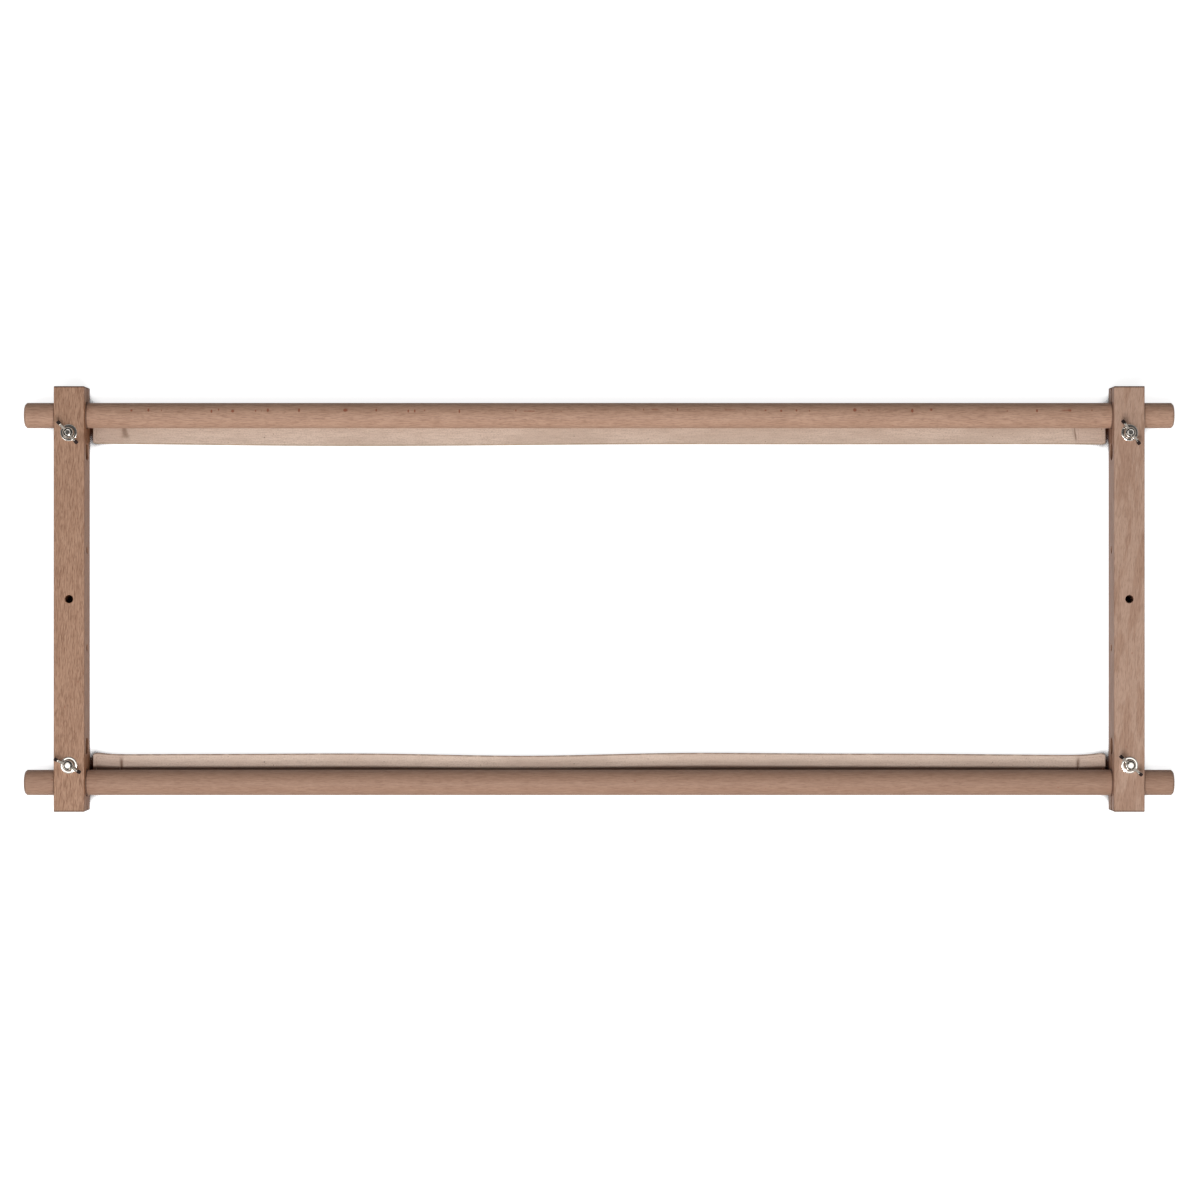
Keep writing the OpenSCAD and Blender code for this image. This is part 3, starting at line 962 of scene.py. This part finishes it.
STAPLES = staple_tree()
GALVANISED = metal("galvanised_wire", srgb(205, 205, 203), 0.3, 0.5, 0.4)
staple_angle = GRIP / (ROLLER_R + TAPE_T / 2) / 2
for end_name, end in (("top", 1), ("bottom", -1)):
    back = -(ROLLER_R + TAPE_T) - STAPLE_T / 2
    half = STAPLE_CROWN / 2 - STAPLE_T / 2
    outline = bpy.data.meshes.new("staple_outline")
    point = back + STAPLE_LEG
    corners = [(-half, 0, point), (-half, 0, back), (half, 0, back), (half, 0, point)]
    outline.from_pydata(corners, [(0, 1), (1, 2), (2, 3)], [])
    row = grow(outline, STAPLES, {
        "Count": STAPLE_COUNT, "Pitch": STAPLE_PITCH, "Wire width": STAPLE_W,
        "Wire thickness": STAPLE_T, "Finish": GALVANISED,
    })
    tilt = Matrix.Rotation(end * staple_angle, 4, "X")
    row.transform(Matrix.Translation((0, end * ROLLER_Y, AXIS_Z)) @ tilt)
    piece = put(f"wire_staples_{end_name}", row, GALVANISED)
    piece.data.shade_smooth()
    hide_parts(f"staples_{end_name}")
    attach(piece, NODE_BODY[f"staples_{end_name}"])

# The clamp bolts: zinc-plated coach bolts, pushed in from the back of each bar. The domed head
# lies on the wood, the square neck bites into it so that the bolt can't turn, and the threaded end
# stands out in front.
BOLT_R = 2.5 * MM
THREAD_DEEP = 0.42 * MM
THREAD_PITCH = 0.8 * MM
THREAD_RUN = 16 * MM
THREAD_FADE = 1 * MM
TIP_EASE = 0.35 * MM
HEAD_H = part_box("side_bar_left")[0].z
HEAD_R = (bolt_high.x - bolt_low.x) / 2
NECK_HALF = 2.7 * MM
NECK_H = 3.5 * MM
BOLT_EASE = 0.6 * MM


def thread_tree():
    """A screw thread: a small triangle swept up a spiral."""
    tree, graph, given = new_tree("screw_thread", {
        "Radius": "Float", "Pitch": "Float", "Turns": "Float", "Depth": "Float", "Finish": "Material",
    })
    height = given["Pitch"] * given["Turns"]
    spiral = graph.add("GeometryNodeCurveSpiral", None, {
        "Resolution": 28, "Rotations": given["Turns"], "Start Radius": given["Radius"],
        "End Radius": given["Radius"], "Height": height,
    })
    tooth = graph.add("GeometryNodeCurvePrimitiveCircle", {"mode": "RADIUS"}, {
        "Resolution": 3, "Radius": given["Depth"],
    })
    ridge = graph.add("GeometryNodeCurveToMesh", None, {
        "Curve": spiral, "Profile Curve": tooth, "Fill Caps": True,
    })
    end_tree(graph, ridge, given["Finish"])
    return tree


def joined(*meshes):
    """Several meshes as one."""
    bm = bmesh.new()
    for mesh in meshes:
        bm.from_mesh(mesh)
    whole = bpy.data.meshes.new("joined")
    bm.to_mesh(whole)
    bm.free()
    return whole


def bolt_mesh(low, high, finish):
    """A coach bolt, head down, with its axis through the middle of its box."""
    middle = (low + high) / 2
    dome_r = (HEAD_R**2 + HEAD_H**2) / (2 * HEAD_H)
    steps = 14
    sweep = math.asin(HEAD_R / dome_r)
    angles = [sweep * i / steps for i in range(steps + 1)]
    dome = [(dome_r * math.sin(a), dome_r * (1 - math.cos(a))) for a in angles]
    core = BOLT_R - THREAD_DEEP
    tail = high.z - low.z
    profile = dome + [
        (HEAD_R, HEAD_H), (BOLT_R, HEAD_H), (BOLT_R, tail - THREAD_RUN - THREAD_FADE),
        (core, tail - THREAD_RUN), (core, tail - TIP_EASE), (core - TIP_EASE, tail), (0, tail),
    ]
    shaft = lathe(profile, 64)
    neck_low = (-NECK_HALF, -NECK_HALF, HEAD_H - 0.3 * MM)
    neck = block(neck_low, (NECK_HALF, NECK_HALF, HEAD_H + NECK_H), 0.25 * MM, 2)
    turns = (THREAD_RUN - BOLT_EASE) / THREAD_PITCH
    ridge = grow(bpy.data.meshes.new("empty"), THREAD_TREE, {
        "Radius": core, "Pitch": THREAD_PITCH, "Turns": turns, "Depth": THREAD_DEEP, "Finish": finish,
    })
    ridge.transform(Matrix.Translation((0, 0, tail - THREAD_RUN)))
    whole = joined(shaft, neck, ridge)
    whole.transform(Matrix.Translation((middle.x, middle.y, low.z)))
    return whole


THREAD_TREE = thread_tree()
ZINC = metal("zinc_plate", srgb(226, 220, 212), 0.08, 0.25, 0.03)
for corner in CORNERS:
    node = f"clamp_bolt_{corner}"
    piece = put(f"coach_bolt_{corner}", bolt_mesh(*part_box(node), ZINC), ZINC)
    crisp(piece)
    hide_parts(node)
    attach(piece, NODE_BODY[node])

# The washers: plain punched steel washers, zinc-plated, with one edge rounded by the punch. They
# keep the wing nuts from biting into the wood.
WASHER_HOLE_R = 2.65 * MM


def washer_mesh(low, high):
    middle = (low + high) / 2
    outer = (high.x - low.x) / 2
    t = high.z - low.z
    roll = 0.7 * MM
    drop = 0.35 * t
    sharp = 0.06 * MM
    rim = [
        (outer - roll * (1 - math.sin(a)), t - drop * (1 - math.cos(a)))
        for a in (math.pi / 2 * i / 8 for i in range(9))
    ]
    profile = [(WASHER_HOLE_R + sharp, t), *rim]
    profile += [
        (outer, sharp), (outer - sharp, 0), (WASHER_HOLE_R + sharp, 0), (WASHER_HOLE_R, sharp),
        (WASHER_HOLE_R, t - sharp), (WASHER_HOLE_R + sharp, t),
    ]
    return lathe(profile[::-1], 96, None, (middle.x, middle.y, low.z))


for corner in CORNERS:
    node = f"washer_{corner}"
    piece = put(f"plain_{node}", washer_mesh(*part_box(node)), ZINC)
    crisp(piece)
    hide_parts(node)
    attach(piece, NODE_BODY[node])

# The wing nuts: small cast nuts, nickel-plated, with two slim wings that rise from a tapered hub
# to a peak and fall away at the tip. Each was left turned its own way when the roller was locked.
HUB_H = 5 * MM
HUB_BASE_R = 4.8 * MM
HUB_TOP_R = 3.8 * MM
WING_HALF_SPAN = 11.25 * MM
WING_RISE = 9 * MM
WING_FALL = 1.6 * MM
WING_PEAK_X = 7.9 * MM
WING_CORNER_R = 0.9 * MM
WING_T = 1.9 * MM
TIP_FROM = 7.2 * MM  # where the wings begin to thicken, and how fast and how much they do
TIP_SPREAD = 2.6 * MM
TIP_THICKER = 0.4
DARK_TIP_FROM = 7.6 * MM
FOOT_H = 1.5 * MM
NUT_BORE_R = 2.5 * MM
NUT_TURN = {"top_left": -48, "top_right": -54, "bottom_left": -28, "bottom_right": -42}


def wing_blade(side):
    """One wing as a flat plate that stands on the hub's side."""
    peak = Vector((WING_PEAK_X, WING_RISE - WING_CORNER_R))
    tip = Vector((WING_HALF_SPAN - WING_CORNER_R, peak.y - WING_FALL))
    turns = [2 * math.pi * i / 24 for i in range(24)]
    corner = [WING_CORNER_R * Vector((math.cos(turn), math.sin(turn))) for turn in turns]
    outline = [middle + away for middle in (peak, tip) for away in corner]
    outline += [Vector((1.5 * MM, 0.9 * MM)), Vector((1.5 * MM, 4.3 * MM))]
    ring = [outline[i] for i in geometry.convex_hull_2d(outline)]
    bm = bmesh.new()
    front = bm.faces.new([bm.verts.new((side * p.x, -WING_T / 2, p.y)) for p in ring])
    wall = bmesh.ops.extrude_face_region(bm, geom=[front])
    moved = [v for v in wall["geom"] if isinstance(v, bmesh.types.BMVert)]
    bmesh.ops.translate(bm, verts=moved, vec=(0, WING_T, 0))
    bmesh.ops.recalc_face_normals(bm, faces=bm.faces)
    mesh = bpy.data.meshes.new("blade")
    bm.to_mesh(mesh)
    bm.free()
    return mesh


def wing_nut_mesh():
    """A wing nut on its own axis, standing on z = 0. Casting rounds its corners and fills its roots, so
    the sharp shape is remeshed and smoothed before the bore is cut. The tips are thicker than the rest
    of the wings, and an attribute marks the tips and the foot: the tips are painted nearly black as a
    painted dark reflection, and the foot as painted shade."""
    hub = lathe([
        (0, 0), (HUB_BASE_R - 0.3 * MM, 0), (HUB_BASE_R, 0.4 * MM), (HUB_BASE_R - 0.1 * MM, 1 * MM),
        (HUB_TOP_R + 0.15 * MM, HUB_H - 0.5 * MM), (HUB_TOP_R - 0.4 * MM, HUB_H), (0, HUB_H),
    ], 64)
    rough = bpy.data.objects.new("rough", carve(hub, [wing_blade(-1), wing_blade(1)], "UNION"))
    bpy.context.scene.collection.objects.link(rough)
    voxels = rough.modifiers.new("casting", "REMESH")
    voxels.mode = "VOXEL"
    voxels.voxel_size = 0.24 * MM
    smooth = rough.modifiers.new("rounding", "SMOOTH")
    smooth.factor = 0.5
    smooth.iterations = 5
    mesh = settle(rough)
    for v in mesh.vertices:
        reach = abs(v.co.x)
        out = min(1.0, max(0.0, (reach - TIP_FROM) / TIP_SPREAD))
        v.co.y *= 1 + TIP_THICKER * out * out * (3 - 2 * out)
    bore = lathe([
        (0, -OVERCUT), (NUT_BORE_R + 0.3 * MM, -OVERCUT), (NUT_BORE_R + 0.3 * MM, 0),
        (NUT_BORE_R, 0.3 * MM), (NUT_BORE_R, HUB_H - 0.8 * MM), (NUT_BORE_R + 0.6 * MM, HUB_H),
        (NUT_BORE_R + 0.6 * MM, HUB_H + OVERCUT), (0, HUB_H + OVERCUT),
    ], 64)
    done = carve(mesh, [bore])
    # Marks the tips for a painted dark reflection and the foot for painted shade.
    painted_dark = done.attributes.new("painted_dark", "FLOAT", "POINT")
    for v, mark in zip(done.vertices, painted_dark.data):
        tip = (abs(v.co.x) - DARK_TIP_FROM) / (1 * MM)
        foot = (FOOT_H - v.co.z) / (0.7 * MM)
        mark.value = min(1.0, max(0.0, tip, foot * 0.9))
    return done


NICKEL = metal("nickel_casting", srgb(178, 171, 162), 0.14, 0.6, 0.4)
cast_nut = wing_nut_mesh()
for corner in CORNERS:
    node = f"wing_nut_{corner}"
    foot_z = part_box(node)[0].z
    washer_low, washer_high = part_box(f"washer_{corner}")
    seat = (washer_low + washer_high) / 2
    mesh = cast_nut.copy()
    turned = Matrix.Rotation(math.radians(NUT_TURN[corner]), 4, "Z")
    mesh.transform(Matrix.Translation((seat.x, seat.y, foot_z)) @ turned)
    piece = put(f"cast_{node}", mesh, NICKEL)
    crisp(piece, 50)
    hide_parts(node)
    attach(piece, NODE_BODY[node])
